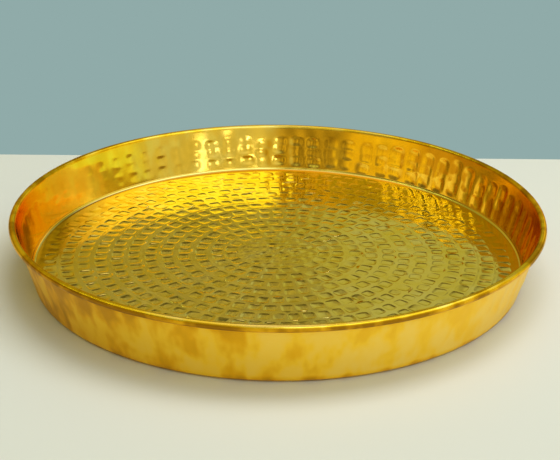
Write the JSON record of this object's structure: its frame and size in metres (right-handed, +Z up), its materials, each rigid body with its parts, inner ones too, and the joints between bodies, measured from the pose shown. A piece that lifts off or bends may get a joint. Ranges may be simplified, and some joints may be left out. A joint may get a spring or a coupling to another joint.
{
  "type": "round tray",
  "caption": "Shallow round serving tray in hammered sheet brass: a raised flat floor set into a leaning wall band whose rim is rolled outwards round a wire.",
  "frame": {"origin": "on the axis of the tray, on the surface that the tray stands on", "axes": "+Z up along the axis of the tray; the tray is round, so +X and +Y are any two directions across it"},
  "size_m": [0.305, 0.305, 0.0365],
  "materials": {
    "hammered_brass": "polished, hammered",
    "edge_wire": "drawn wire"
  },
  "bodies": {
    "root": {"wall_band": "hammered_brass", "floor_plate": "hammered_brass", "rim_wire": "edge_wire"}
  },
  "joints": []
}
